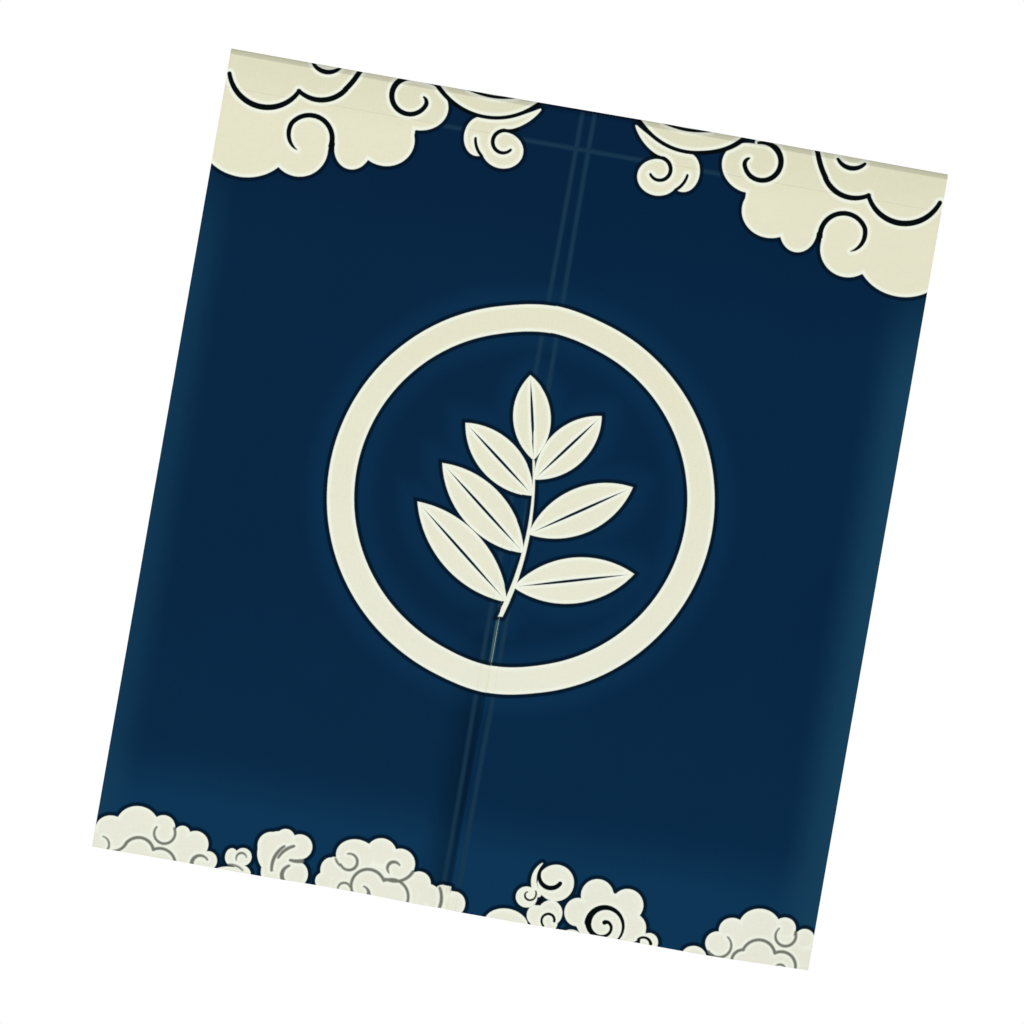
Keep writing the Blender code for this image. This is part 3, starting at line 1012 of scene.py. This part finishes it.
def thread_material(groups):
    """Twisted thread that was sewn in before the printing, so that it takes the print."""
    material, tree, shader = new_material("sewing_thread", THREAD_FINISH)
    spot = add_node(tree, "ShaderNodeTexCoord").outputs["Object"]
    x, _, z = parts_of(tree, spot)
    place = vector_of(tree, calc(tree, "ADD", x, HALF), calc(tree, "MULTIPLY", z, -1.0))
    twist = noise_at(tree, spot, TWIST_SCALE, 2.0)[0]
    tone = fade(tree, twist, *TWIST_TONE)
    inputs = {"Place": place, "Ring middle": LEFT_RING, "Tone": tone, **THREAD_COLOURS}
    colour = use_group(tree, groups["print"], inputs)["Colour"]
    colour_and_bump(tree, shader, colour, twist, THREAD_FINISH)
    return material


def make_stitch_tree(material):
    """Thread stitches set end to end along an edge line, each a little uneven."""
    inputs = {"Line": "Geometry", "Stitch": "Float", "Gap": "Float", "Thread": "Float", "Seed": "Int"}
    tree, given, result = make_group("stitches", inputs, {"Stitches": "Geometry"}, "GeometryNodeTree")
    curve = add_node(tree, "GeometryNodeMeshToCurve", {"Mesh": given["Line"]})
    pitch = calc(tree, "ADD", given["Stitch"], given["Gap"])
    spacing = {"Curve": curve.outputs[0], "Length": pitch}
    spots = add_node(tree, "GeometryNodeCurveToPoints", spacing, mode="LENGTH")
    grain = add_node(tree, "GeometryNodeMeshUVSphere", {"Segments": 6, "Rings": 4, "Radius": 0.5}).outputs[0]
    size = vector_of(tree, given["Stitch"], given["Thread"], given["Thread"])
    shaped = add_node(tree, "GeometryNodeTransform", {"Geometry": grain, "Scale": size})
    tangent = {"Vector": spots.outputs["Tangent"]}
    towards = add_node(tree, "FunctionNodeAlignRotationToVector", tangent, axis="X")
    limits = {0: (-STITCH_LEAN,) * 3, 1: (STITCH_LEAN,) * 3, "Seed": given["Seed"]}
    lean = add_node(tree, "FunctionNodeRandomValue", limits, data_type="FLOAT_VECTOR")
    lean_turn = add_node(tree, "FunctionNodeEulerToRotation", {0: lean.outputs[0]})
    turns = {"Rotation": towards.outputs[0], "Rotate By": lean_turn.outputs[0]}
    turned = add_node(tree, "FunctionNodeRotateRotation", turns, rotation_space="LOCAL")
    limits = {2: STITCH_SIZES[0], 3: STITCH_SIZES[1], "Seed": given["Seed"]}
    scale = add_node(tree, "FunctionNodeRandomValue", limits)
    given_spots = {"Points": spots.outputs[0], "Instance": shaped.outputs[0]}
    given_spots.update({"Rotation": turned.outputs[0], "Scale": scale.outputs[1]})
    placed = add_node(tree, "GeometryNodeInstanceOnPoints", given_spots)
    real = add_node(tree, "GeometryNodeRealizeInstances", {0: placed.outputs[0]})
    finished = add_node(tree, "GeometryNodeSetMaterial", {"Geometry": real.outputs[0], "Material": material})
    tree.links.new(finished.outputs[0], result["Stitches"])
    return tree


def heading_row(along, x):
    """Points just off the sleeve's outer face."""
    points = np.stack(heading_surface(x, along)[:3], 1)
    points[:, 1] -= np.cos(fold_turn(along)) * THREAD_LIFT
    points[:, 2] += np.sin(fold_turn(along)) * THREAD_LIFT
    return points


def panel_row(side, from_slit, down, behind):
    """Points just off a panel's face, or off the back of its hem."""
    x, y, z = panel_surface(side, from_slit, down)
    return np.stack([x, y + (THIN_HEM + THREAD_LIFT if behind else -THREAD_LIFT), z], 1)


def stitch_lines():
    """Each row of stitches as its points: the seams, the heading's row, and the hems behind."""
    shares, drops = np.linspace(*ROUND_SLEEVE), np.linspace(*DOWN_PANEL)
    across, places = np.linspace(*ALONG_FOOT), np.linspace(*ALONG_HEADING)
    front_share = FRONT_ENDS * (HEADING - HEADING_STITCH) / (HEADING - POCKET_DEPTH / 2)
    on_heading = np.abs(heading_surface(np.zeros_like(shares), shares)[3])
    seams, heading, hems = [], [], []
    for side in (LEFT, RIGHT):
        seams.append(heading_row(shares, side.sign * seam_inset(side.seam, on_heading)))
        for behind in (False, True):
            seams.append(panel_row(side, seam_inset(side.seam, drops), drops, behind))
        hems.append(panel_row(side, np.full_like(drops, HALF - HEM_STITCH), drops, True))
        hems.append(panel_row(side, across, np.full_like(across, DROP - HEM_STITCH), True))
    for share in (front_share, 1 - front_share):
        heading.append(heading_row(np.full_like(places, share), places))
    return {"seam_stitches": seams, "heading_stitches": heading, "hem_stitches": hems}


def make_stitches(name, rows, tree, thread):
    """One mesh of all the stitches in these rows."""
    points = np.concatenate(rows)
    edges, first = [], 0
    for row in rows:
        edges += [(first + i, first + i + 1) for i in range(len(row) - 1)]
        first += len(row)
    data = bpy.data.meshes.new(name)
    data.from_pydata(points.tolist(), edges, [])
    data.materials.append(thread)
    obj = new_object(name, data)
    modifier = obj.modifiers.new("stitches", "NODES")
    modifier.node_group = tree
    values = {"Stitch": STITCH, "Gap": STITCH_GAP, "Thread": THREAD_THICK, "Seed": STITCH_SEED}
    for item in tree.interface.items_tree:
        if item.in_out == "INPUT" and item.name in values:
            modifier[item.identifier] = values[item.name]
    apply_modifiers(obj)
    for polygon in obj.data.polygons:
        polygon.use_smooth = True
    spots = np.array([vert.co for vert in obj.data.vertices])
    add_clouds(obj, spots[:, 0] + HALF, -spots[:, 2])
    return obj


def make_stage():
    """A plain pale floor well below the curtain, soft lights and a white surround."""
    bpy.ops.mesh.primitive_plane_add(size=FLOOR_SIZE, location=(0, 0, FLOOR_Z))
    floor = bpy.context.object
    floor.name = "studio_floor"
    material, _, shader = new_material("studio_floor", FLOOR_FINISH)
    shader.inputs["Base Color"].default_value = FLOOR_PALE
    floor.data.materials.append(material)
    for name, place, size, power in LIGHTS:
        light = bpy.data.lights.new(name, "AREA")
        light.shape, light.size, light.energy = "DISK", size, power
        obj = new_object(name, light)
        obj.location = place
        obj.rotation_euler = (Vector((0, 0, -DROP / 2)) - Vector(place)).to_track_quat("-Z", "Y").to_euler()
    world = bpy.data.worlds.new("studio")
    world.use_nodes = True
    tree = world.node_tree
    tree.nodes.clear()
    seen = add_node(tree, "ShaderNodeBackground", {"Color": WHITE, "Strength": 1.0})
    lit = add_node(tree, "ShaderNodeBackground", {"Color": WHITE, "Strength": SURROUND})
    camera_ray = add_node(tree, "ShaderNodeLightPath").outputs["Is Camera Ray"]
    mixed = add_node(tree, "ShaderNodeMixShader", {0: camera_ray, 1: lit.outputs[0], 2: seen.outputs[0]})
    output = tree.nodes.new("ShaderNodeOutputWorld")
    tree.links.new(mixed.outputs[0], output.inputs["Surface"])
    bpy.context.scene.world = world
    bpy.context.scene.view_settings.view_transform = "Standard"


def make_camera():
    """The camera stands square to the curtain, a long way off, and is rolled as the photograph is."""
    camera = bpy.data.cameras.new("camera")
    camera.lens, camera.sensor_width = LENS, SENSOR
    obj = new_object("camera", camera)
    roll = math.radians(CAMERA_ROLL)
    right = Vector((math.cos(roll), 0, math.sin(roll)))
    up = Vector((-math.sin(roll), 0, math.cos(roll)))
    middle = Vector((0, 0, -DROP / 2)) - right * MIDDLE_RIGHT - up * MIDDLE_UP
    distance = FRAME_WIDTH / 2 / (SENSOR / 2 / LENS)
    place = middle + Vector((0, SEAM_Y - distance, 0))
    axes = Matrix((right, up, right.cross(up))).transposed()
    obj.matrix_world = Matrix.Translation(place) @ axes.to_4x4()
    bpy.context.scene.camera = obj


def main():
    ring_group = make_ring_group(make_leaf_group())
    groups = {"weave": make_weave_group(), "print": make_print_group(ring_group)}
    left_cloth = cloth_materials("left", groups, NAVY_LEFT, LEFT_RING)
    right_cloth = cloth_materials("right", groups, NAVY_RIGHT, RIGHT_RING)
    thread = thread_material(groups)

    left = make_panel("left_panel_cloth", LEFT, left_cloth)
    right = make_panel("right_panel_cloth", RIGHT, right_cloth)
    heading = make_heading(left_cloth)
    stitch_tree = make_stitch_tree(thread)
    stitches = {
        name: make_stitches(name, rows, stitch_tree, thread) for name, rows in stitch_lines().items()
    }

    for piece, node, slot, flat in (
        (left, "left_panel", "printed_cloth", PANEL_FLAT),
        (right, "right_panel", "printed_cloth", PANEL_FLAT),
        (heading, "heading", "heading_cloth", HEADING_FLAT),
    ):
        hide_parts(node)
        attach(piece, "root")
    for piece in stitches.values():
        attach(piece, "root")


make_stage()
make_camera()
main()
